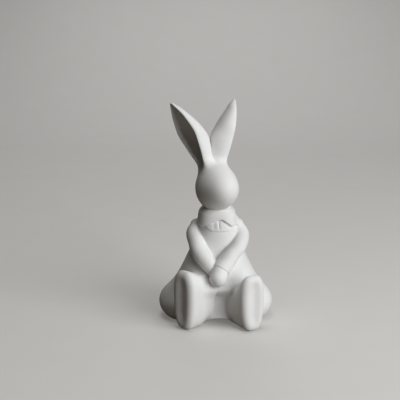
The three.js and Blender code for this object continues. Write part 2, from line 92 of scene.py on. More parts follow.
# Relief on the chest. The bib's edge lies BIB_DROP below the smock's top. From BIB_TURN on, to the bunny's
# right, it rises along a parabola, by BIB_RISE over BIB_RUN.
BIB_DROP, BIB_TURN, BIB_RISE, BIB_RUN = 8.9 * MM, 1 * MM, 2.4 * MM, 5.2 * MM
BIB_MIDDLE, BIB_HALF, BIB_SIDE_FADE, BIB_TOP_FADE = 0.3 * MM, 7.4 * MM, 2 * MM, 4 * MM
BIB_STEP, BIB_STEP_RUN = 0.34 * MM, 1.1 * MM  # height of the edge's step, and the run that it takes
BIB_ROLL, BIB_ROLL_RISE, BIB_ROLL_HALF = 0.16 * MM, 0.9 * MM, 0.6 * MM  # the rolled edge above the step
RELIEF_FRONT = 3 * MM  # the relief starts this far ahead of the axis and is full at twice that

# Gathers below the collar, in millimetres: start and end as x and z from the smock's top, depth and width
GATHERS = (
    ((0.8, -2.4), (1.15, -6.9), 0.5, 0.5),
    ((-1.9, -3.6), (-1.5, -7.2), 0.3, 1),
    ((3.2, -3.2), (6.6, -6.4), 0.25, 0.55),
)
GATHER_FADE = 0.4  # share of its depth that a gather loses along its line

# Sections of an ear from the root to the tip: length, half width, depth and wall, as shares
EAR_SECTIONS = (
    (0, 0.366, 0.62, 1.304),
    (0.183, 0.41, 0.76, 1.174),
    (0.344, 0.69, 0.92, 1.043),
    (0.45, 0.84, 1, 1),
    (0.6, 1, 0.85, 0.94),
    (0.72, 0.86, 0.68, 0.84),
    (0.849, 0.61, 0.43, 0.63),
    (0.93, 0.34, 0.29, 0.42),
    (1, 0.08, 0.1, 0.2),
)

# Stations of an arm from the shoulder to the paw: angle round the smock in degrees, drop and radius as shares
LEFT_ARM_STATIONS = (
    (96, 0, 0.735),
    (86, 0.215, 0.92),
    (51, 0.405, 0.93),
    (31, 0.551, 0.9),
    (16, 0.715, 0.94),
    (5, 0.85, 0.97),
    (1, 0.98, 0.97),
)
RIGHT_ARM_STATIONS = (
    (92, 0, 0.75),
    (79, 0.181, 0.92),
    (54, 0.35, 0.94),
    (40, 0.527, 1),
    (24, 0.704, 1),
    (12, 0.86, 0.95),
    (7, 0.95, 0.8),
)
PAW_LIFT_SPAN = 0.35  # last share of the left arm's drop, over which its paw rises

# The soft flare on the left shoulder: where along the arm it ends and the run over which it fades, as shares,
# how far it goes round underneath and the run over which it fades behind, as slopes
SHOULDER_END, SHOULDER_RUN, SHOULDER_UNDER, SHOULDER_BACK_RUN = 0.3, 0.25, 0.2, 0.4

# The left sleeve's end, as shares of the arm: it widens from the elbow to the cuff, and steps down to the paw
ELBOW, CUFF = 0.5, 0.87
CUFF_SWELL = 0.8  # share of the cuff's step by which the sleeve widens
CUFF_STEP_RUN = 0.018
PAW_SWELL, PAW_START, PAW_RUN = 0.5, 0.02, 0.14  # the paw regains half of the step behind the cuff

# Sections of a leg from the hip to the sole: length, half width, bottom and fall of the top, as shares
LEG_SECTIONS = (
    (0, 1, 0.0126, 0.355),
    (0.394, 0.973, 0.0063, 0.23),
    (0.636, 0.959, 0, 0.069),
    (0.818, 0.973, 0, 0),
    (1, 0.973, 0, 0),
)
LEG_SQUARENESS = 2.9
LEG_KEYS = ("hip", "splay", "wide", "tall", "fall", "top", "inner")  # what each leg has of its own
SOLE_MIDDLE = 0.02  # share of its size at which the sole's last ring closes
HEEL_TAPER = 0.14  # share of its width that the foot loses down to the heel
GROOVE_TOES, GROOVE_HEEL = 0.26, 0.3  # the sole's groove dies out over these shares of its height

# Profile of the collar, in millimetres: height from the smock's top, and what is added to the radius
COLLAR_SHOULDER = ((-5, 0.2), (-2.7, 0), (0.4, -0.5))
COLLAR_ROLL = (2.4, 0.6)  # the same below the rim, added to the rim's radius
COLLAR_SLANT = 0.95  # turns the level distance to the cone into the distance across its face
COLLAR_BLEND = 1.2 * MM
COLLAR_SQUARENESS = 2.7
COLLAR_FADE = (0.8, 0.5)  # where the front edge starts to melt into the smock, and over how much of the fade
COLLAR_FLARE = 0.9 * MM
COLLAR_MIDDLE = 0.9 * MM  # of its section, above the smock's top

# The collar's lower edge from the bunny's right to its left: angle from the front in degrees, and rise
COLLAR_EDGE = (
    (-180, 0),
    (-60, 0),
    (-42, 0.16),
    (-20, 0.52),
    (2, 0.9),
    (13, 1),
    (30, 0.52),
    (47, 0),
    (180, 0),
)

SEAT = 0.8 * MM  # how deep a root reaches into what carries it
FLARE_REACH = 0.9  # share of a flare's width over which it is followed

# Grid of a piece: points round it, rows that its flare is worked out on, and rows that are meshed. The arms
# have points along the line first, and are finer round it instead.
COLLAR_GRID = 300, 450, 90
EAR_GRID = 150, 900, 320
ARM_GRID = 330, 850, 180
LEG_GRID = 200, 750, 170
TAIL_GRID = 120, 400, 80
HEAD_SIDES, HEAD_ROWS = 220, 150
SMOCK_SIDES, SMOCK_ROWS, HOLLOW_ROWS = 320, 205, 40
HEM_TURN = 0.06, np.pi / 2, 7  # round the hem: from and to which angle, and in how many rows
FLOOR_PARTS, BASE_PARTS = (0.3, 0.6, 0.9), (0.3, 0.65, 0.95)  # rings between the pour hole and the walls
LIP, LIP_ROWS = 0.8 * MM, 5  # rounding of the pour hole, and bevel of the neck pin
BALL_ROWS, BALL_END = 15, 1.5  # rows on the half ball at an arm's end, which stops at this tilt
LINE_STEPS = 60  # steps of an arm's line between two stations
TUBE_STEP = 6  # every sixth point of its line tells how far the left arm is

REACH_FAR, REACH_HALVINGS = 80 * MM, 26  # farther than any surface from where it is looked for
FLARE_HALVINGS = 18
SETTLE_STEPS, LEAST_SLOPE = 4, 0.2


def length(description, default):
    """A size in metres that is given in millimetres."""
    return bpy.props.FloatProperty(
        description=description, default=default * MM, min=0, precision=5, unit="LENGTH"
    )


def angle(description, default):
    """An angle that is given in degrees."""
    return bpy.props.FloatProperty(description=description, default=np.radians(default), subtype="ANGLE")


def share(description, default):
    """A number without a unit."""
    return bpy.props.FloatProperty(description=description, default=default, precision=3)


def power(description, default):
    """The power of a lamp in watts."""
    return bpy.props.FloatProperty(description=description, default=default, unit="POWER")


def colour(description, default):
    """A colour in linear light."""
    return bpy.props.FloatVectorProperty(
        description=description, default=default, size=3, min=0, max=1, subtype="COLOR"
    )


class SmockSizes(bpy.types.PropertyGroup):
    """The hollow-cast smock with the haunches under it."""

    height: length("From the hem to the neck", SMOCK_TOP / MM)
    half: length("Widest reach to each side", 25.6)
    front: length("Widest reach forwards", 20.8)
    back: length("Widest reach backwards", 24)
    left_haunch: length("From the axis to the middle of the left haunch", 18.8)
    right_haunch: length("From the axis to the middle of the right haunch", 19.8)
    haunch_back: length("From the axis back to the middle of a haunch", 0.5)
    haunch_height: length("From the ground to the middle of a haunch", 8.6)
    haunch_half: length("Half size sideways", 12.9)
    haunch_depth: length("Half size from front to back", 15.5)
    haunch_rise: length("Half size upwards", 10.8)
    haunch_blend: length("Width of the soft hollow round a haunch", 6)
    hem_round: length("Radius of the hem's lower edge", 1.4)
    arch_side: length("From the axis to the middle of the lifted hem", 0.6)
    arch_half: length("Half width of the lifted hem", 9.3)
    arch_height: length("How far the hem lifts between the feet", 3.7)
    arch_fade: length("Height over which the lift dies out", 13)
    wall: length("Thickness of the casting", 3.2)
    pour_radius: length("Hole in the underside", 7)
    pin_radius: length("Pin that carries the head", 5.2)
    pin_height: length("Above the smock", 5)


class CollarSizes(bpy.types.PropertyGroup):
    """The collar, which lies over the shoulders and parts in front."""

    rim: length("Radius at the top", 8.3)
    radius: length("Radius at the shoulders", 10.7)
    above: length("Height above the smock", COLLAR_ABOVE / MM)
    below: length("How far it hangs below the smock's top", 6.2)
    parting: length("How much shorter it is where it parts in front", 4.2)
    thickness: length("How far its front edge stands off the smock", 0.24)
    fade: angle("Angle from the front at which that edge melts into the smock", 46)
    inner: length("Radius of the hole for the neck", 5.5)
    edge: length("Rounding of its edges", 0.6)


class HeadSizes(bpy.types.PropertyGroup):
    """The hollow-cast head, a skull with a muzzle."""

    turn: angle("Turn of the head to the bunny's left", 25)
    forward: length("How far the skull sits ahead of the neck", 2.4)
    aside: length("How far the skull sits to the bunny's right", 0.35)
    lift: length("Chin above the top of the smock", 1.3)
    half: length("Half size of the skull sideways", 11.6)
    depth: length("Half size of the skull from front to back", 12.4)
    up: length("From the middle of the skull to the crown", 13.4)
    down: length("From the middle of the skull to the chin", 13.2)
    muzzle_radius: length("Radius of the muzzle", 6.6)
    muzzle_reach: length("Middle of the muzzle ahead of the skull's", 9.6)
    muzzle_rise: length("Middle of the muzzle above the skull's", 0.6)
    blend: length("Width of the soft hollow round the muzzle", 7)


class EarSizes(bpy.types.PropertyGroup):
    """The two ears, each a curled leaf."""

    length: length("From the root to the tip", 43.6)
    half: length("Half the width between the rims", 8.2)
    deep: length("From the rims to the back", 11)
    wall: length("Thickness behind the hollow", 4.6)
    root_side: share("Direction of the root from the skull's middle, sideways", 7)
    root_back: share("Direction of the root, backwards", 4.7)
    root_rise: share("Direction of the root, upwards", 11.2)
    sunk: length("How deep the leaf starts in the skull", 5)
    lean_out: angle("Lean to the side", 20.9)
    lean_back: angle("Lean to the back", 13.8)
    sweep: length("How far the tip curves back", 4.2)
    facing: angle("The hollow faces this far outwards from straight ahead", 81)
    flare: length("Width of the soft foot on the skull", 4.5)


class ArmSizes(bpy.types.PropertyGroup):
    """The two arms, whose paws lie one over the other."""

    shoulder: length("First station below the smock's top", 7.5)
    left_reach: length("Drop of the left arm from shoulder to paw", 24.7)
    left_radius: length("Fullest radius of the left arm", 4.9)
    left_lift: length("How far the left paw rises over the right one", 2.6)
    right_reach: length("Drop of the right arm from shoulder to paw", 22.6)
    right_radius: length("Fullest radius of the right arm", 4.7)
    bed: length("How deep the arms lie in the smock", 3)
    crease: length("Width of the tight flare along the arms", 0.9)
    shoulder_flare: length("Width of the flare on the left shoulder", 4.5)
    shoulder_back: share("How far back the soft flare goes, as a slope", 0.1)
    cuff: length("Step from the sleeve to the paw", 0.35)


class LegSizes(bpy.types.PropertyGroup):
    """The two legs, which show their soles."""

    length: length("From the hip to the sole", 16.5)
    half: length("Half width at the hip", 7.9)
    height: length("Height of the foot", 31.8)
    rim: length("Rounding round the sole, seen on its face", 4.2)
    cap: length("Rounding round the sole, seen from the side", 3.2)
    hollow: length("Depth of the groove along the sole", 0.85)
    hollow_half: length("Half width of the groove along the sole", 2.7)
    ahead: length("Hip ahead of the smock's axis", 13.4)
    left_hip: length("Left hip from the smock's axis", 12.3)
    left_splay: angle("Turn of the left leg outwards", 28)
    left_wide: share("Width of the left foot as a share", 1)
    left_tall: share("Height of the left foot as a share", 1)
    left_fall: share("How far the left leg falls away behind the foot, as a share", 1)
    left_top: length("Width of the flare above the left leg", 1.4)
    left_inner: length("Width of the left leg's flare towards the lap", 3)
    right_hip: length("Right hip from the smock's axis", 8)
    right_splay: angle("Turn of the right leg outwards", 45)
    right_wide: share("Width of the right foot as a share", 1.08)
    right_tall: share("Height of the right foot as a share", 1.05)
    right_fall: share("How far the right leg falls away behind the foot, as a share", 0.4)
    right_top: length("Width of the flare above the right leg", 4)
    right_inner: length("Width of the right leg's flare towards the lap", 6)
    outer: length("Width of the flare towards the haunch", 3)
    under: length("Width of the flare at the ground", 0.6)


class TailSizes(bpy.types.PropertyGroup):
    """The round tail."""

    radius: length("Radius of the tail", (TAIL_HIGH.z - TAIL_LOW.z) / 2 / MM)
    height: length("From the ground to its middle", (TAIL_HIGH.z + TAIL_LOW.z) / 2 / MM)
    sunk: length("How deep it sits in the smock", 3)
    flare: length("Width of its soft foot", 1.6)


class BisqueFinish(bpy.types.PropertyGroup):
    """Unglazed porcelain."""

    white: colour("Colour of the fired body", (0.83, 0.825, 0.81))
    shade: colour("Its cloudier tone", (0.78, 0.765, 0.74))
    roughness: share("Roughness of the bare body", 0.62)
    glow: share("Share of light that enters the body", 0.12)
    glow_depth: length("How far light travels in the body", 1.2)
    grain: length("Size of the body's grain", 0.22)
    grain_depth: length("Depth of the body's grain", 0.012)


class StageSettings(bpy.types.PropertyGroup):
    """Floor, lights and camera."""

    floor: colour("Colour of the floor for the light it throws back", (0.19, 0.16, 0.13))
    floor_seen: colour("Colour of the floor as the camera sees it", (0.6, 0.585, 0.565))
    backdrop: colour("Tone that the camera adds to the floor and sees beyond", (0.15, 0.146, 0.14))
    key: power("Window light from the right", 5.6)
    top: power("Soft light from above", 1.05)
    fill: power("Weak light from behind", 1.2)
    sky: share("Strength of the even light from all round", 0.018)
    elevation: angle("Camera above the horizon", 14)
    distance: length("From the camera to the point it looks at", 501)
    aim_side: bpy.props.FloatProperty(
        description="Point it looks at, sideways", default=-8.96 * MM, unit="LENGTH"
    )
    aim_height: length("Point it looks at, above the floor", 67.1)
    lens: bpy.props.FloatProperty(description="Focal length on a 36 mm sensor", default=81)


GROUPS = {
    "smock": SmockSizes,
    "collar": CollarSizes,
    "head": HeadSizes,
    "ears": EarSizes,
    "arms": ArmSizes,
    "legs": LegSizes,
    "tail": TailSizes,
    "bisque": BisqueFinish,
    "stage": StageSettings,
}


class BunnySettings(bpy.types.PropertyGroup):
    """All sizes and colours of the bunny, one group of them under each name in GROUPS."""

    __annotations__ = {name: bpy.props.PointerProperty(type=kind) for name, kind in GROUPS.items()}


# Curves and distances


def circle(count):
    """Angles at equal steps once round."""
    return np.linspace(0, 2 * np.pi, count, endpoint=False)


def level_ways(turns):
    """Level directions at turns from straight ahead towards the bunny's left."""
    return np.stack([np.sin(turns), -np.cos(turns), np.zeros_like(turns)], axis=-1)


def curve(places, values):
    """The smooth curve through values at places: on each span the cubic with its end values and slopes. A
    slope is the harmonic mean of the two chords that meet there, and 0 at a peak, so nothing overshoots."""
    steps = np.diff(places)
    chords = np.diff(values) / steps
    product = chords[:-1] * chords[1:]
    total = chords[:-1] + chords[1:]
    inner = np.where(product > 0, 2 * product / np.where(total == 0, 1, total), 0)
    slopes = np.concatenate([chords[:1], inner, chords[-1:]])

    def read(at):
        at = np.clip(at, places[0], places[-1])
        i = np.clip(np.searchsorted(places, at, side="right") - 1, 0, len(steps) - 1)
        t = (at - places[i]) / steps[i]
        bulge = steps[i] * t * (1 - t) * (slopes[i] * (1 - t) - slopes[i + 1] * t)
        return values[i] * (1 + 2 * t) * (1 - t) ** 2 + values[i + 1] * t * t * (3 - 2 * t) + bulge

    return read


def curves(sections, reach, *sizes):
    """One curve for each column of the sections after the first, over the first one times reach."""
    columns = np.array(sections, float).T
    return [curve(columns[0] * reach, column * size) for column, size in zip(columns[1:], sizes)]


def smooth(t):
    """0 up to 0, 1 from 1 on, and t * t * (3 - 2t) between."""
    t = np.clip(t, 0, 1)
    return t * t * (3 - 2 * t)


def squared(v, squareness):
    """v to the power 2 / squareness with its sign kept, which makes a round section squarer."""
    return np.sign(v) * np.abs(v) ** (2 / squareness)


def soft_min(a, b, width):
    """The lesser of a and b, less width/4 * (1 - |a-b|/width)^2 where they are within width of each other."""
    near = np.maximum(width - np.abs(a - b), 0) / width
    return np.minimum(a, b) - near * near * width / 4


def soft_max(a, b, width):
    """The greater of a and b, rounded in the same way."""
    return -soft_min(-a, -b, width)


def ellipsoid(p, half):
    """Distance outside an ellipsoid: k(k-1)/g, with k the length of p over its half sizes and g the length of
    p over their squares."""
    k = np.linalg.norm(p / half, axis=-1)
    g = np.linalg.norm(p / half**2, axis=-1)
    return k * (k - 1) / np.maximum(g, 1e-6)


def reach(field, start, way, level=0.0):
    """The points start + way * d at which a field that rises outwards gets to a level, by halving."""
    inside = np.zeros(np.broadcast_shapes(start.shape, way.shape)[:-1])
    outside = np.full_like(inside, REACH_FAR)
    for _ in range(REACH_HALVINGS):
        middle = (inside + outside) / 2
        under = field(start + way * middle[..., None]) < level
        inside = np.where(under, middle, inside)
        outside = np.where(under, outside, middle)
    return start + way * inside[..., None]


def slope(field, p, step=0.02 * MM):
    """The way in which a field rises fastest, from differences along each axis."""
    sides = [field(p + step * axis) - field(p - step * axis) for axis in np.eye(3)]
    return np.stack(sides, axis=-1) / (2 * step)


def unit(v):
    """v at length 1."""
    return v / np.maximum(np.linalg.norm(v, axis=-1, keepdims=True), 1e-12)


def facing(rings):
    """The way that a grid of points faces: its step along the rings crossed with its step round them."""
    along = np.gradient(rings, axis=0)
    around = np.roll(rings, -1, axis=1) - np.roll(rings, 1, axis=1)
    ways = unit(np.cross(around, along))
    out = rings - rings.mean(axis=(0, 1))
    return ways * np.sign((ways * out).sum())


def flare(points, ways, carrier, width):
    """Each point moved along its way by the d at which soft_min(d, distance to the carrier, width) is 0. That
    is none where the carrier is far, and grows to a soft foot that meets the carrier without an edge."""
    moved = points.copy()
    width = np.broadcast_to(width, points.shape[:-1])
    near = carrier(points) < width
    start, way, width = points[near], ways[near], width[near]
    low = np.zeros(len(start))
    high = FLARE_REACH * width
    for _ in range(FLARE_HALVINGS):
        middle = (low + high) / 2
        clear = soft_min(middle, carrier(start + way * middle[:, None]), width) > 0
        high = np.where(clear, middle, high)
        low = np.where(clear, low, middle)
    moved[near] = start + way * low[:, None]
    return moved


def settle(points, carrier, depth):
    """Points deeper than depth in the carrier are moved out to that depth, along the carrier's slope."""
    settled = points.copy()
    deep = carrier(points) < -depth
    low = points[deep]
    for _ in range(SETTLE_STEPS):
        way = slope(carrier, low)
        rise = np.maximum(-depth - carrier(low), 0)
        steep = np.maximum((way * way).sum(axis=-1), LEAST_SLOPE)
        low = low + way * (rise / steep)[:, None]
    settled[deep] = low
    return settled


def evenly(points, count):
    """Each column of points with count points instead, at equal steps along the column."""
    steps = np.linalg.norm(np.diff(points, axis=0), axis=-1)
    run = np.concatenate([np.zeros_like(steps[:1]), np.cumsum(steps, axis=0)])
    wanted = np.linspace(0, 1, count)[:, None] * run[-1]
    after = np.clip((run[None] < wanted[:, None]).sum(axis=1), 1, len(run) - 1)
    start = np.take_along_axis(run, after - 1, axis=0)
    span = np.maximum(np.take_along_axis(run, after, axis=0) - start, 1e-12)
    t = ((wanted - start) / span)[..., None]
    below = np.take_along_axis(points, (after - 1)[..., None], axis=0)
    above = np.take_along_axis(points, after[..., None], axis=0)
    return below * (1 - t) + above * t


def turned(points, turn, place):
    """Points turned about +Z and moved to a place."""
    c, s = np.cos(turn), np.sin(turn)
    return points @ np.array([[c, s, 0], [-s, c, 0], [0, 0, 1]]) + place


# Forms: each gives a field, the distance outside it, in the smock's frame


def smock_form(s):
    """A pile of superellipses, |x/half|^n + |y/depth|^n = 1, whose sizes follow the sections, with an
    ellipsoid for each haunch blended in. A quarter circle draws the lowest sections in and rounds the hem."""
    half_at, front_at, back_at = curves(SMOCK_SECTIONS, s.height, s.half, s.front, s.back)
    haunch_size = np.array([s.haunch_half, s.haunch_depth, s.haunch_rise])
    n = SMOCK_SQUARENESS
    rounding, blend = s.hem_round, s.haunch_blend
    sides = s.left_haunch, s.right_haunch

    def field(p):
        x, y, z = np.moveaxis(p, -1, 0)
        low = np.clip(1 - z / rounding, 0, 1)
        drawn_in = rounding * (1 - np.sqrt(1 - low * low))
        half = half_at(z) - drawn_in
        depth = np.where(y < 0, front_at(z), back_at(z)) - drawn_in
        scaled = (np.abs(x / half) ** n + np.abs(y / depth) ** n) ** (1 / n)
        smock = np.hypot(x, y) * (1 - 1 / np.maximum(scaled, 1e-6))
        aside = np.abs(x) - np.where(x > 0, *sides)
        haunch = ellipsoid(np.stack([aside, y - s.haunch_back, z - s.haunch_height], axis=-1), haunch_size)
        return soft_min(smock, haunch + drawn_in, blend)

    return field


def head_form(s):
    """An egg for the skull with a ball for the muzzle blended into its front, in the head's own frame."""
    muzzle = np.array([0, -s.muzzle_reach, s.muzzle_rise])
    sides, radius, blend, up, down = (s.half, s.depth), s.muzzle_radius, s.blend, s.up, s.down

    def field(p):
        tall = np.where(p[..., 2] > 0, up, down)
        size = np.stack([np.full_like(tall, sides[0]), np.full_like(tall, sides[1]), tall], axis=-1)
        ball = np.linalg.norm(p - muzzle, axis=-1) - radius
        return soft_min(ellipsoid(p, size), ball, blend)

    return field


def head_place(s):
    """Turn and place of the head's frame."""
    middle = s.smock.height + s.head.lift + s.head.down
    return s.head.turn, np.array([-s.head.aside, -s.head.forward, middle])


def collar_form(s, smock, top):
    """What lies in a squarish cone round the neck or, in front, within a thickness of the smock, under the rim
    and above a lower edge. The edge rises by parting times the rise of its stations, so the collar parts in
    front."""
    shoulder = [(at * MM, s.radius + more * MM) for at, more in COLLAR_SHOULDER]
    roll = (COLLAR_ROLL[0] * MM, s.rim + COLLAR_ROLL[1] * MM)
    heights, radii = np.array([*shoulder, roll, (s.above, s.rim)]).T
    cone_at = curve(top + heights, radii)
    turns, rises = np.array(COLLAR_EDGE, float).T
    edge_at = curve(np.radians(turns), top - s.below + s.parting * rises)
    high_edge, thickness, fade, edge, inner = top + s.above, s.thickness, s.fade, s.edge, s.inner
    n = COLLAR_SQUARENESS
    melt, melt_run = COLLAR_FADE

    def field(p):
        x, y, z = np.moveaxis(p, -1, 0)
        radius = (np.abs(x) ** n + np.abs(y) ** n) ** (1 / n)
        turn = np.arctan2(x, -y)
        over = thickness * (1 - smooth((np.abs(turn) - melt * fade) / (melt_run * fade)))
        outer = soft_min(smock(p) - over, (radius - cone_at(z)) * COLLAR_SLANT, COLLAR_BLEND)
        cut = soft_max(soft_max(outer, edge_at(turn) - z, edge), z - high_edge, edge)
        return np.maximum(cut, inner - radius)

    return field


def tube_form(line, radius):
    """Distance to the nearest point of a line, less the radius there."""

    def field(p):
        flat = p.reshape(-1, 1, 3)
        apart = np.linalg.norm(flat - line[None], axis=-1) - radius[None]
        return apart.min(axis=1).reshape(p.shape[:-1])

    return field


def hem_lift(points, s):
    """Points near the ground between the feet, raised by height * (1 - |x/half|^n) * (1 - z/fade)^2, less
    towards the back. The hem and the feet's flares rise together, so they keep meeting."""
    x, y, z = np.moveaxis(points, -1, 0)
    across = np.clip(1 - np.abs((x - s.arch_side) / s.arch_half) ** HEM_SQUARENESS, 0, 1)
    ahead = smooth((-y - HEM_LIFT_START) / HEM_LIFT_RUN)
    fade = np.clip(1 - z / s.arch_fade, 0, 1) ** 2
    lifted = points.copy()
    lifted[..., 2] = np.maximum(z, 0) + s.arch_height * across * ahead * fade
    return lifted


# Meshes


def skin(name, rings, ring_closed=False):
    """A closed mesh over a grid of rings. The first and last rings close on their own middle, unless the rings
    themselves close into a loop. Its faces are turned outwards by the sign of its volume."""
    count, sides = rings.shape[:2]
    k = np.arange(sides)
    i = np.arange(count if ring_closed else count - 1)[:, None]
    a, b = i * sides + k, i * sides + (k + 1) % sides
    c, d = (b + sides) % (count * sides), (a + sides) % (count * sides)
    quads = np.stack([a, b, c, d], axis=-1).reshape(-1, 4)
    points = rings.reshape(-1, 3)
    fans = np.empty((0, 3), int)
    if not ring_closed:
        points = np.concatenate([points, [rings[0].mean(axis=0), rings[-1].mean(axis=0)]])
        first, last, top = count * sides, count * sides + 1, (count - 1) * sides
        start = np.stack([np.full(sides, first), (k + 1) % sides, k], axis=-1)
        end = np.stack([np.full(sides, last), top + k, top + (k + 1) % sides], axis=-1)
        fans = np.concatenate([start, end])
    triangles = np.concatenate([quads[:, :3], quads[:, [0, 2, 3]], fans])
    p, q, r = (points[triangles[:, j]] for j in range(3))
    if (p * np.cross(q, r)).sum() < 0:
        quads, fans = quads[:, ::-1], fans[:, ::-1]
    points = points + np.array([AXIS.x, AXIS.y, 0])
    mesh = bpy.data.meshes.new(name)
    mesh.from_pydata(points.tolist(), [], quads.tolist() + fans.tolist())
    mesh.shade_smooth()
    piece = bpy.data.objects.new(name, mesh)
    bpy.context.scene.collection.objects.link(piece)
    return piece


def dress(piece, node):
    """The piece takes the bisque finish, rides on the bunny and stands for its node."""
    piece.data.materials.append(bisque_material(bpy.context.scene.bunny.bisque))
    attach(piece, BODY)
    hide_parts(node)


# Finish


def put(node, **values):
    """Give a node's inputs their values. An underscore stands for the space in an input's name."""
    for key, value in values.items():
        node.inputs[key.replace("_", " ")].default_value = value
    return node


def colour_mix(nodes, **tones):
    """A node that mixes two colours."""
    mix = nodes.new("ShaderNodeMix")
    mix.data_type = "RGBA"
    return put(mix, **{key: (*tone, 1) for key, tone in tones.items()})


def bisque_material(s):
    """Fired clay without glaze: white with faint clouds, a soft swell, a fine grain, and a little light that
    enters the body. All pieces share it."""
    material = bpy.data.materials.get("warm_bisque")
    if material:
        return material
    material = bpy.data.materials.new("warm_bisque")
    material.use_nodes = True
    nodes, links = material.node_tree.nodes, material.node_tree.links
    shader = nodes["Principled BSDF"]
    put(shader, Subsurface_Weight=s.glow, Subsurface_Radius=(1, 0.8, 0.6), Subsurface_Scale=s.glow_depth)
    put(shader, IOR=1.5, Specular_IOR_Level=0.35)
    place = nodes.new("ShaderNodeTexCoord").outputs["Object"]

    def noise(size, detail, target, roughness=0.5):
        node = put(nodes.new("ShaderNodeTexNoise"), Scale=1 / size, Detail=detail, Roughness=roughness)
        links.new(place, node.inputs["Vector"])
        links.new(node.outputs["Fac"], target)

    clouds = colour_mix(nodes, A=s.white, B=s.shade)
    spread = put(nodes.new("ShaderNodeMapRange"), From_Min=0.4, From_Max=0.75, To_Max=0.7)
    noise(14 * MM, 4, spread.inputs["Value"])
    links.new(spread.outputs["Result"], clouds.inputs["Factor"])
    links.new(clouds.outputs["Result"], shader.inputs["Base Color"])

    matte = put(nodes.new("ShaderNodeMapRange"), To_Min=s.roughness - 0.08, To_Max=s.roughness + 0.12)
    noise(3 * MM, 3, matte.inputs["Value"])
    links.new(matte.outputs["Result"], shader.inputs["Roughness"])

    swell = put(nodes.new("ShaderNodeBump"), Strength=0.25, Distance=0.12 * MM)
    noise(5 * MM, 2, swell.inputs["Height"])
    grain = put(nodes.new("ShaderNodeBump"), Strength=0.6, Distance=s.grain_depth)
    noise(s.grain, 3, grain.inputs["Height"], 0.6)
    links.new(swell.outputs["Normal"], grain.inputs["Normal"])
    links.new(grain.outputs["Normal"], shader.inputs["Normal"])
    return material


# Pieces


class BUNNY_OT_smock(bpy.types.Operator):
    """Add the hollow smock with its haunches, lap and lifted hem"""

    bl_idname = "bunny.smock"
    bl_label = "Smock"

    def execute(self, context):
        s = context.scene.bunny.smock
        field = smock_form(s)
        way = level_ways(circle(SMOCK_SIDES))

        def wall_rings(heights, inset):
            start = np.zeros((len(heights), 1, 3))
            start[:, 0, 2] = heights
            return reach(field, start, way[None], -inset)

        def flat_rings(radii, height):
            rings = way[None] * np.reshape(radii, (-1, 1, 1))
            rings[..., 2] = np.reshape(height, (-1, 1))
            return rings

        def plate_rings(start, end, parts, height):
            rows = [way * (start * (1 - t) + end * t)[:, None] for t in parts]
            return np.stack(rows) + np.array([0, 0, height])

        low = s.hem_round * (1 - np.cos(np.linspace(*HEM_TURN)))
        outer = wall_rings(np.concatenate([low, np.linspace(s.hem_round, s.height, SMOCK_ROWS)[1:]]), 0)
        outer = self.gather(outer, s)
        inner = wall_rings(np.linspace(s.height - s.wall, s.wall, HOLLOW_ROWS), s.wall)
        mouth, rim = (np.linalg.norm(ring[:, :2], axis=-1) for ring in (inner[-1], outer[0]))
        hole, pin = s.pour_radius, s.pin_radius
        turn = np.linspace(0, np.pi / 2, LIP_ROWS)[:, None]
        floor = plate_rings(mouth, hole + LIP, FLOOR_PARTS, s.wall)
        edge_up = flat_rings(hole + LIP * (1 - np.sin(turn)), s.wall - LIP * (1 - np.cos(turn)))
        edge_down = flat_rings(hole + LIP * (1 - np.cos(turn)), LIP * (1 - np.sin(turn)))
        base = plate_rings(hole + LIP, rim, BASE_PARTS, 0)
        pin_top = s.height + s.pin_height
        neck = flat_rings([pin, pin, pin - LIP], [s.height, pin_top - LIP, pin_top])
        rings = np.concatenate([inner, floor, edge_up, edge_down, base, outer, neck])
        piece = skin("smock", hem_lift(rings, s))
        dress(piece, "dress_body")
        return {"FINISHED"}

    @staticmethod
    def gather(rings, s):
        """The chest's relief: a bib that ends in a soft U-shaped step with a rolled edge, and gathers below the
        collar, each a valley of depth * exp(-(distance/width)^2) along a line."""
        x, y, z = np.moveaxis(rings, -1, 0)
        front = smooth((-y - RELIEF_FRONT) / RELIEF_FRONT)
        hem = s.height - BIB_DROP + BIB_RISE * np.clip(-(x + BIB_TURN) / BIB_RUN, 0, 2) ** 2
        sides = smooth((BIB_HALF - np.abs(x - BIB_MIDDLE)) / BIB_SIDE_FADE)
        inside = sides * smooth((s.height - z) / BIB_TOP_FADE)
        relief = BIB_STEP * smooth((z - hem) / BIB_STEP_RUN) * inside
        relief += BIB_ROLL * np.exp(-(((z - hem - BIB_ROLL_RISE) / BIB_ROLL_HALF) ** 2)) * inside
        for start, end, depth, width in GATHERS:
            a = np.array(start) * MM + np.array([0, s.height])
            run = np.array(end) * MM + np.array([0, s.height]) - a
            off = np.stack([x, z], axis=-1) - a
            t = np.clip(off @ run / (run @ run), 0, 1)
            apart = np.linalg.norm(off - t[..., None] * run, axis=-1)
            relief = relief - depth * MM * np.exp(-((apart / (width * MM)) ** 2)) * (1 - GATHER_FADE * t)
        out = rings * np.array([1, 1, 0])
        return rings + unit(out) * (relief * front)[..., None]


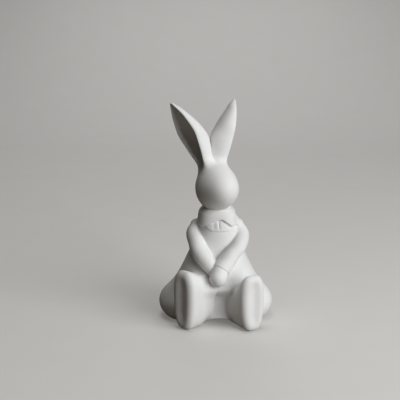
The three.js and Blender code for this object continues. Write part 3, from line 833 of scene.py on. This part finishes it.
class BUNNY_OT_collar(bpy.types.Operator):
    """Add the collar that parts in front"""

    bl_idname = "bunny.collar"
    bl_label = "Collar"

    def execute(self, context):
        s = context.scene.bunny
        smock = smock_form(s.smock)
        field = collar_form(s.collar, smock, s.smock.height)
        sides, fine, rows = COLLAR_GRID
        out = level_ways(circle(sides))
        middle = out * (s.collar.inner + s.collar.rim) / 2 + np.array([0, 0, s.smock.height + COLLAR_MIDDLE])
        turn = np.linspace(np.pi, -np.pi, fine, endpoint=False)[:, None, None]
        ways = out[None] * np.cos(turn) + np.array([0, 0, 1]) * np.sin(turn)
        rings = reach(field, middle[None], ways)
        rings = flare(rings, facing(rings), smock, COLLAR_FLARE)
        rings = settle(rings, smock, SEAT)
        rings = evenly(np.concatenate([rings, rings[:1]]), rows + 1)[:-1]
        piece = skin("collar_ring", rings, ring_closed=True)
        dress(piece, "collar")
        return {"FINISHED"}


class BUNNY_OT_head(bpy.types.Operator):
    """Add the head"""

    bl_idname = "bunny.head"
    bl_label = "Head"

    def execute(self, context):
        s = context.scene.bunny
        field = head_form(s.head)
        level = np.linspace(-np.pi / 2, np.pi / 2, HEAD_ROWS)[1:-1, None, None]
        ways = level_ways(circle(HEAD_SIDES)) * np.cos(level) + np.array([0, 0, 1]) * np.sin(level)
        rings = turned(reach(field, np.zeros(3), ways), *head_place(s))
        piece = skin("head_ball", rings)
        dress(piece, "head")
        return {"FINISHED"}


def ear_rings(s, side, count, sides):
    """The leaf of one ear in the head's frame. A point's place is spine - open * (back + swell) * cos(bend) +
    across * (half + swell) * sin(bend), where bend = 90 degrees * cos(a) and swell = wall / 2 * sin(a)."""
    ears = s.ears
    axis = unit(np.array([side * np.tan(ears.lean_out), np.tan(ears.lean_back), 1]))
    open_way = np.array([side * np.sin(ears.facing), -np.cos(ears.facing), 0])
    open_way = unit(open_way - axis * (open_way @ axis))
    across = np.cross(axis, open_way)
    to_root = unit(np.array([side * ears.root_side, ears.root_back, ears.root_rise]))
    root = reach(head_form(s.head), np.zeros((1, 3)), to_root[None])[0] - axis * ears.sunk
    part = np.linspace(0, 1, count)[:, None]
    reads = curves(EAR_SECTIONS, ears.length, ears.half, ears.deep, ears.wall)
    half, deep, wall = (read(part * ears.length) for read in reads)
    spine = root + axis * part[..., None] * ears.length + np.array([0, ears.sweep, 0]) * part[..., None] ** 3
    a = circle(sides)[None]
    bend = np.pi / 2 * np.cos(a)
    swell = wall / 2 * np.sin(a)
    back = (deep - wall / 2 + swell) * np.cos(bend)
    aside = (half + swell) * np.sin(bend)
    return spine - open_way * back[..., None] + across * aside[..., None]


class BUNNY_OT_ears(bpy.types.Operator):
    """Add the two ears, flared into the head"""

    bl_idname = "bunny.ears"
    bl_label = "Ears"

    def execute(self, context):
        s = context.scene.bunny
        head = head_form(s.head)
        sides, fine, rows = EAR_GRID
        for side, name, node in ((1, "ear_left", "left_ear"), (-1, "ear_right", "right_ear")):
            rings = ear_rings(s, side, fine, sides)
            rings = flare(rings, facing(rings), head, s.ears.flare)
            rings = evenly(settle(rings, head, SEAT), rows)
            piece = skin(name, turned(rings, *head_place(s)))
            dress(piece, node)
        return {"FINISHED"}


def arm_line(stations, points, count):
    """A centripetal Catmull-Rom curve through points, read at equal steps along its length, with the stations'
    radii eased between them by smooth(t)."""
    ends = [2 * points[0] - points[1], 2 * points[-1] - points[-2]]
    p = np.concatenate([ends[:1], points, ends[1:]])
    dt = np.sqrt(np.linalg.norm(np.diff(p, axis=0), axis=-1))[:, None]
    steep = np.diff(p, axis=0) / dt
    slopes = steep[:-1] - (p[2:] - p[:-2]) / (dt[:-1] + dt[1:]) + steep[1:]
    part = np.linspace(0, len(points) - 1, LINE_STEPS * (len(points) - 1) + 1)
    i = np.minimum(part.astype(int), len(points) - 2)
    t = (part - i)[:, None]
    span = dt[1:-1][i]
    fine = (
        points[i] * (1 + 2 * t) * (1 - t) ** 2
        + points[i + 1] * t * t * (3 - 2 * t)
        + span * t * (1 - t) * (slopes[i] * (1 - t) - slopes[i + 1] * t)
    )
    run = np.concatenate([[0], np.cumsum(np.linalg.norm(np.diff(fine, axis=0), axis=-1))])
    along = np.linspace(0, 1, count)
    line = np.stack([np.interp(along * run[-1], run, fine[:, j]) for j in range(3)], axis=-1)
    radii = np.array([station[2] for station in stations])
    place = along * (len(radii) - 1)
    i = np.minimum(place.astype(int), len(radii) - 2)
    return line, radii[i] + (radii[i + 1] - radii[i]) * smooth(place - i)


def arm_middle(s, stations, side, reach_down, radius, lift, smock, count):
    """The middle line of an arm: over the smock at each station's angle and drop, by radius - bed + lift."""
    arms = s.arms
    turn, drop, radii = np.array(stations, float).T
    turn = np.radians(turn) * side
    way = level_ways(turn)
    start = np.zeros((len(turn), 3))
    start[:, 2] = s.smock.height - arms.shoulder - reach_down * drop
    rise = lift * np.clip((drop - 1 + PAW_LIFT_SPAN) / PAW_LIFT_SPAN, 0, 1)
    points = reach(smock, start, way) + way * (radius * radii - arms.bed + rise)[:, None]
    line, share_of = arm_line(stations, points, count)
    return line, share_of * radius


def arm_grid(line, radius, smock, sides, swell):
    """Rings round a line with a half ball at each end: line + radius * (out * cos(a) + across * sin(a)), where
    out faces away from the smock. swell(part, a) is added to the radius."""
    tangent = unit(np.gradient(line, axis=0))
    out = slope(smock, line)
    out = unit(out - tangent * (out * tangent).sum(axis=-1, keepdims=True))
    across = np.cross(tangent, out)
    a = np.linspace(-np.pi, np.pi, sides)[:, None]
    ball = np.linspace(0, np.pi / 2, BALL_ROWS + 1)[1:]
    last = len(line) - 1
    row = np.concatenate([np.zeros(BALL_ROWS, int), np.arange(len(line)), np.full(BALL_ROWS, last)])
    tilt = np.concatenate([-ball[::-1], np.zeros(len(line)), ball])
    tilt = np.clip(tilt, -BALL_END, BALL_END)
    ways = out[row] * np.cos(a)[..., None] + across[row] * np.sin(a)[..., None]
    ways = ways * np.cos(tilt)[None, :, None] + tangent[row] * np.sin(tilt)[None, :, None]
    part = row / last
    return line[row] + ways * (radius[row] + swell(part[None], a))[..., None], ways


class BUNNY_OT_arms(bpy.types.Operator):
    """Add the two arms, bedded in the smock, with the left paw over the right one"""

    bl_idname = "bunny.arms"
    bl_label = "Arms"

    def execute(self, context):
        s = context.scene.bunny
        arms = s.arms
        smock = smock_form(s.smock)
        collar = collar_form(s.collar, smock, s.smock.height)

        def carrier(p):
            return np.minimum(smock(p), collar(p))

        stations, fine, rows = ARM_GRID
        drop, thick = (arms.left_reach, arms.right_reach), (arms.left_radius, arms.right_radius)
        left = arm_middle(s, LEFT_ARM_STATIONS, 1, drop[0], thick[0], arms.left_lift, smock, stations)
        right = arm_middle(s, RIGHT_ARM_STATIONS, -1, drop[1], thick[1], 0, smock, stations)
        left_field = tube_form(*(along[::TUBE_STEP] for along in left))

        def left_swell(part, a):
            paw = 1 - PAW_SWELL * smooth((part - CUFF - PAW_START) / PAW_RUN)
            step = smooth((part - CUFF) / CUFF_STEP_RUN) * paw
            return arms.cuff * (CUFF_SWELL * smooth((part - ELBOW) / (CUFF - ELBOW)) - step)

        def no_swell(part, a):
            return 0 * part * a

        for name, node, (line, radius), swell, soft in (
            ("arm_left", "left_arm", left, left_swell, arms.shoulder_flare),
            ("arm_right", "right_arm", right, no_swell, arms.crease),
        ):
            points, ways = arm_grid(line, radius, smock, fine, swell)
            part = np.concatenate([np.zeros(BALL_ROWS), np.linspace(0, 1, len(line)), np.ones(BALL_ROWS)])
            share_soft = smooth((SHOULDER_END - part) / SHOULDER_RUN) * smooth(ways[..., 2] + SHOULDER_UNDER)
            share_soft = share_soft * smooth((arms.shoulder_back - ways[..., 1]) / SHOULDER_BACK_RUN)
            width = arms.crease + (soft - arms.crease) * share_soft
            points = settle(flare(points, ways, carrier, width), carrier, SEAT)
            if node == "right_arm":
                points = settle(points, left_field, SEAT)
            rings = np.swapaxes(evenly(points, rows + 1)[:-1], 0, 1)
            dress(skin(name, rings), node)
        return {"FINISHED"}


def leg_rings(legs, wide, tall, fall, count, sides):
    """The leg in the hip's frame: upright superellipses from the hip forwards, then a cap that turns over a
    quarter ellipse, then the flat of the sole. A groove of hollow * exp(-(x/hollow_half)^2) runs down the sole
    and dies out at the toes and the heel."""
    half_at, bottom_at, drop_at = curves(LEG_SECTIONS, legs.length, legs.half, legs.height, legs.height)
    rim, cap = legs.rim, legs.cap
    side_run, cap_run, sole_run = legs.length - cap, rim * np.pi / 2, legs.half * wide - rim
    run = np.linspace(0, side_run + cap_run + sole_run, count)[:, None]
    over = np.clip((run - side_run) / rim, 0, np.pi / 2)
    ahead = np.minimum(run, side_run) + cap * np.sin(over)
    inset = rim * (1 - np.cos(over))
    scale = np.clip(1 - (run - side_run - cap_run) / sole_run, SOLE_MIDDLE, 1)
    half = half_at(ahead) * wide - inset
    bottom = bottom_at(ahead) + inset
    top = (legs.height - fall * drop_at(ahead)) * tall - inset
    a = circle(sides)[None]
    up, aside = squared(np.sin(a), LEG_SQUARENESS), squared(np.cos(a), LEG_SQUARENESS)
    aside = aside * (1 - HEEL_TAPER * (1 - up) / 2)
    x = aside * half * scale
    z = (bottom + top) / 2 + up * (top - bottom) / 2 * scale
    high = z / (legs.height * tall)
    sunk = legs.hollow * np.exp(-((x / legs.hollow_half) ** 2))
    sunk = sunk * smooth(high / GROOVE_HEEL) * smooth((1 - high) / GROOVE_TOES)
    return np.stack([x, sunk * np.sin(over) ** 2 - ahead, z], axis=-1), np.sin(a), np.cos(a)


class BUNNY_OT_legs(bpy.types.Operator):
    """Add the two legs, flared into the lap and the haunches"""

    bl_idname = "bunny.legs"
    bl_label = "Legs"

    def execute(self, context):
        s = context.scene.bunny
        legs = s.legs
        smock = smock_form(s.smock)
        sides, fine, rows = LEG_GRID
        for side, name, node in ((1, "leg_left", "left_leg"), (-1, "leg_right", "right_leg")):
            own = "left" if side > 0 else "right"
            hip, splay, wide, tall, fall, top, inner = (getattr(legs, f"{own}_{key}") for key in LEG_KEYS)
            rings, up, aside = leg_rings(legs, wide, tall, fall, fine, sides)
            inward = -side * aside
            width = np.where(up > 0, top, legs.under) * up**2
            width = width + np.where(inward > 0, inner, legs.outer) * inward**2
            rings = turned(rings, side * splay, np.array([side * hip, -legs.ahead, 0]))
            rings = flare(rings, facing(rings), smock, width)
            rings = evenly(settle(rings, smock, SEAT), rows)
            piece = skin(name, hem_lift(rings, s.smock))
            dress(piece, node)
        return {"FINISHED"}


class BUNNY_OT_tail(bpy.types.Operator):
    """Add the tail"""

    bl_idname = "bunny.tail"
    bl_label = "Tail"

    def execute(self, context):
        s = context.scene.bunny
        smock = smock_form(s.smock)
        back = np.array([0.0, 1.0, 0.0])
        start = np.array([[0, 0, s.tail.height]])
        middle = reach(smock, start, back[None])[0] + back * (s.tail.radius - s.tail.sunk)
        sides, fine, rows = TAIL_GRID
        turn = np.linspace(0, np.pi, fine)[1:-1, None, None]
        around = circle(sides)
        out = np.stack([np.cos(around), np.zeros_like(around), np.sin(around)], axis=-1)
        ways = out[None] * np.sin(turn) - back * np.cos(turn)
        rings = flare(middle + ways * s.tail.radius, ways, smock, s.tail.flare)
        rings = evenly(settle(rings, smock, SEAT), rows)
        dress(skin("tail_ball", rings), "tail")
        return {"FINISHED"}


# Stage


# Setting of its power, place, size and tone of each lamp
LAMPS = {
    "key_lamp": ("key", (0.53, -0.47, 0.3), 0.6, (0.975, 1, 1.02)),
    "top_lamp": ("top", (-0.05, -0.05, 0.7), 0.3, (1, 0.99, 0.97)),
    "back_lamp": ("fill", (0, 0.75, 0.5), 0.5, (0.96, 0.98, 1)),
}
LAMP_TARGET = (0, 0, 50 * MM)
SKY_TONE = (1, 0.91, 0.8, 1)
FLOOR_HALF, FLOOR_FRONT, FLOOR_BACK, FLOOR_TOP = 2.5, -1.6, 0.5, 2  # metres; it sweeps up from FLOOR_BACK on
FLOOR_BEND, FLOOR_STEPS = 0.5, 24
FLOOR_MOTTLE = 0.95  # how dark the floor's darker spots are


def plain_material(name, tone, seen, glow):
    """A matte surface with a faint mottle, for the floor. The camera sees a paler tone than the light does, and
    an even glow on top, so that the floor doesn't sink into the dark far from the lamps."""
    material = bpy.data.materials.new(name)
    material.use_nodes = True
    nodes, links = material.node_tree.nodes, material.node_tree.links
    shader = put(nodes["Principled BSDF"], Roughness=0.9, Emission_Color=(*glow, 1))
    noise = put(nodes.new("ShaderNodeTexNoise"), Scale=40)
    mix = colour_mix(nodes, A=seen, B=FLOOR_MOTTLE * np.array(seen))
    place = nodes.new("ShaderNodeTexCoord").outputs["Object"]
    links.new(place, noise.inputs["Vector"])
    links.new(noise.outputs["Fac"], mix.inputs["Factor"])
    sight = nodes.new("ShaderNodeLightPath").outputs["Is Camera Ray"]
    shown = colour_mix(nodes, A=tone)
    links.new(sight, shown.inputs["Factor"])
    links.new(mix.outputs["Result"], shown.inputs["B"])
    links.new(shown.outputs["Result"], shader.inputs["Base Color"])
    links.new(sight, shader.inputs["Emission Strength"])
    return material


def lamp(name, energy, place, size, tone):
    """A square soft lamp at a place, turned to LAMP_TARGET."""
    light = bpy.data.lights.new(name, "AREA")
    light.size = size
    light.energy = energy
    light.color = tone
    holder = bpy.data.objects.new(name, light)
    holder.location = place
    holder.rotation_euler = (Vector(LAMP_TARGET) - Vector(place)).to_track_quat("-Z", "Y").to_euler()
    bpy.context.scene.collection.objects.link(holder)


class BUNNY_OT_stage(bpy.types.Operator):
    """Add the floor that sweeps up behind, the soft lamps and the camera"""

    bl_idname = "bunny.stage"
    bl_label = "Stage"

    def execute(self, context):
        s = context.scene.bunny.stage
        self.floor(s)
        for name, (key, *rest) in LAMPS.items():
            lamp(name, getattr(s, key), *rest)
        context.scene.world = self.sky(s)
        context.scene.view_settings.view_transform = "Standard"
        self.camera(context.scene, s)
        return {"FINISHED"}

    @staticmethod
    def sky(s):
        """A dim even sky, which the camera sees as a pale backdrop where it looks past the floor."""
        world = bpy.data.worlds.new("even_sky")
        world.use_nodes = True
        nodes, links = world.node_tree.nodes, world.node_tree.links
        glow = put(nodes["Background"], Color=SKY_TONE, Strength=s.sky)
        backdrop = put(nodes.new("ShaderNodeBackground"), Color=(*s.backdrop, 1))
        seen = nodes.new("ShaderNodeMixShader")
        links.new(nodes.new("ShaderNodeLightPath").outputs["Is Camera Ray"], seen.inputs["Fac"])
        links.new(glow.outputs["Background"], seen.inputs[1])
        links.new(backdrop.outputs["Background"], seen.inputs[2])
        links.new(seen.outputs["Shader"], nodes["World Output"].inputs["Surface"])
        return world

    @staticmethod
    def floor(s):
        """A sheet that lies flat and sweeps up behind along a quarter circle."""
        arc = np.linspace(0, np.pi / 2, FLOOR_STEPS)
        sweep = FLOOR_BACK + FLOOR_BEND * np.sin(arc)
        run = np.concatenate([[FLOOR_FRONT], sweep, [FLOOR_BACK + FLOOR_BEND]])
        rise = np.concatenate([[0], FLOOR_BEND * (1 - np.cos(arc)), [FLOOR_TOP]])
        sides = np.array([-FLOOR_HALF, FLOOR_HALF])
        points = np.stack(np.broadcast_arrays(sides[None], run[:, None], rise[:, None]), axis=-1)
        points = points.reshape(-1, 3)
        i = np.arange(len(run) - 1)[:, None] * 2
        mesh = bpy.data.meshes.new("floor")
        mesh.from_pydata(points.tolist(), [], (i + np.array([0, 1, 3, 2])).tolist())
        mesh.shade_smooth()
        mesh.materials.append(plain_material("pale_floor", s.floor, s.floor_seen, s.backdrop))
        sheet = bpy.data.objects.new("floor", mesh)
        bpy.context.scene.collection.objects.link(sheet)

    @staticmethod
    def camera(scene, s):
        """The camera looks along +Y, tilted down by its elevation."""
        data = bpy.data.cameras.new("camera")
        data.lens = s.lens
        data.sensor_width = 36
        data.clip_start = 0.01
        camera = bpy.data.objects.new("camera", data)
        ahead = Vector((0, np.cos(s.elevation), -np.sin(s.elevation)))
        aim = Vector((s.aim_side, 0, s.aim_height))
        camera.location = aim - ahead * s.distance
        camera.rotation_euler = ahead.to_track_quat("-Z", "Y").to_euler()
        scene.collection.objects.link(camera)
        scene.camera = camera


OPERATORS = (
    BUNNY_OT_stage,
    BUNNY_OT_smock,
    BUNNY_OT_collar,
    BUNNY_OT_head,
    BUNNY_OT_ears,
    BUNNY_OT_arms,
    BUNNY_OT_legs,
    BUNNY_OT_tail,
)


class BUNNY_PT_panel(bpy.types.Panel):
    """Sizes, colours and pieces of the bunny"""

    bl_label = "Bunny"
    bl_idname = "BUNNY_PT_panel"
    bl_space_type = "VIEW_3D"
    bl_region_type = "UI"
    bl_category = "Bunny"

    def draw(self, context):
        settings = context.scene.bunny
        for group, kind in GROUPS.items():
            box = self.layout.box()
            box.label(text=group.capitalize())
            for key in kind.__annotations__:
                box.prop(getattr(settings, group), key, text=key.replace("_", " ").capitalize())
        for operator in OPERATORS:
            self.layout.operator(operator.bl_idname)


CLASSES = (*GROUPS.values(), BunnySettings, *OPERATORS, BUNNY_PT_panel)


def register():
    """Register the classes and hang the settings on the scene."""
    for cls in CLASSES:
        bpy.utils.register_class(cls)
    bpy.types.Scene.bunny = bpy.props.PointerProperty(type=BunnySettings)


def unregister():
    """Take the settings and the classes away again."""
    del bpy.types.Scene.bunny
    for cls in reversed(CLASSES):
        bpy.utils.unregister_class(cls)


def main():
    """Make the stage and every piece."""
    register()
    for operator in OPERATORS:
        group, name = operator.bl_idname.split(".")
        getattr(getattr(bpy.ops, group), name)()


if __name__ == "__main__":
    main()
